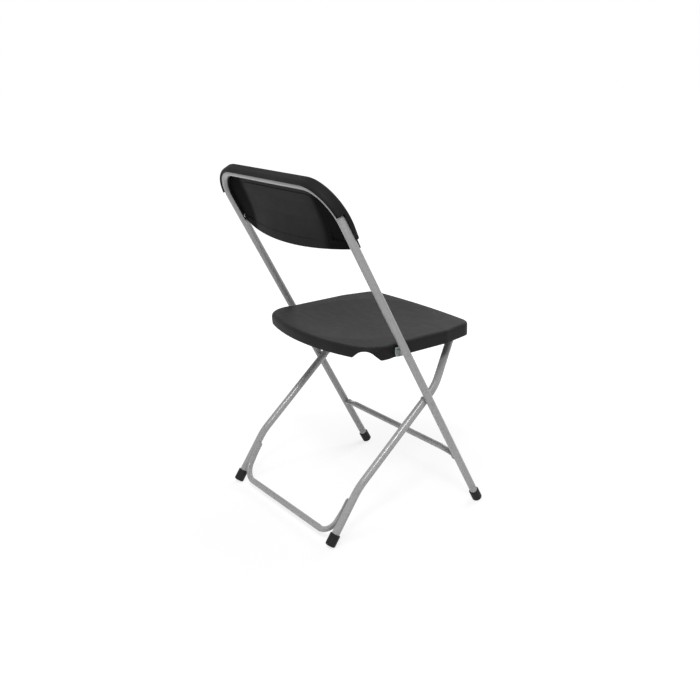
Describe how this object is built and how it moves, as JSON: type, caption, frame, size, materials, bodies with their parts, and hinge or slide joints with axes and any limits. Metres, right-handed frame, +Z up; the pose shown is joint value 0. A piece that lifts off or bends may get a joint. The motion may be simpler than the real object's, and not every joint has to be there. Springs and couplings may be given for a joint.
{
  "type": "folding chair",
  "caption": "Folding chair with an inverted-U tube frame, a moulded seat and curved backrest, and crossed rear legs with a floor brace that swing in as the seat folds up.",
  "frame": {"origin": "on the floor, at the middle of the open chair's width and depth", "axes": "X to the sitter's left, Y to the back, Z up; the chair faces -Y"},
  "size_m": [0.4782, 0.4672, 0.8115],
  "materials": {
    "frame_paint": "satin silver-grey paint",
    "black_plastic": "fine grained black moulding",
    "black_rubber": "matt black rubber",
    "dark_plastic": "smooth black plastic",
    "bare_steel": "plated steel"
  },
  "bodies": {
    "main_frame": {"main_frame_tube": "frame_paint", "front_crossbar": "frame_paint", "backrest_shell": "black_plastic", "left_front_foot_cap": "black_rubber", "right_front_foot_cap": "black_rubber", "left_backrest_rivet": "bare_steel", "right_backrest_rivet": "bare_steel", "left_leg_pivot_rivet": "bare_steel", "right_leg_pivot_rivet": "bare_steel", "left_leg_pivot_washer": "bare_steel", "right_leg_pivot_washer": "bare_steel", "left_seat_pivot_rivet": "bare_steel", "right_seat_pivot_rivet": "bare_steel", "left_seat_pivot_washer": "bare_steel", "right_seat_pivot_washer": "bare_steel"},
    "rear_legs": {"rear_leg_frame": "frame_paint", "rear_floor_brace": "frame_paint", "left_rear_foot_cap": "black_rubber", "right_rear_foot_cap": "black_rubber", "left_bar_sleeve": "dark_plastic", "right_bar_sleeve": "dark_plastic"},
    "seat": {"seat_shell": "black_plastic", "seat_bracket_rivets": "bare_steel", "seat_runner_screws": "bare_steel", "left_seat_bracket": "bare_steel", "right_seat_bracket": "bare_steel", "left_seat_runner": "dark_plastic", "right_seat_runner": "dark_plastic"}
  },
  "joints": [
    {"name": "leg_fold", "type": "hinge", "parent": "main_frame", "child": "rear_legs", "pos_m": [0, -0.06225, 0.29194], "axis": [-1, 0, 0], "range_deg": [0, 71]},
    {"name": "seat_fold", "type": "hinge", "parent": "main_frame", "child": "seat", "pos_m": [0, 0.01261, 0.4248], "axis": [-1, 0, 0], "range_deg": [0, 115]}
  ],
  "couplings": [
    {"joint": "seat_fold", "follows": "leg_fold", "ratio": 1.6196}
  ]
}
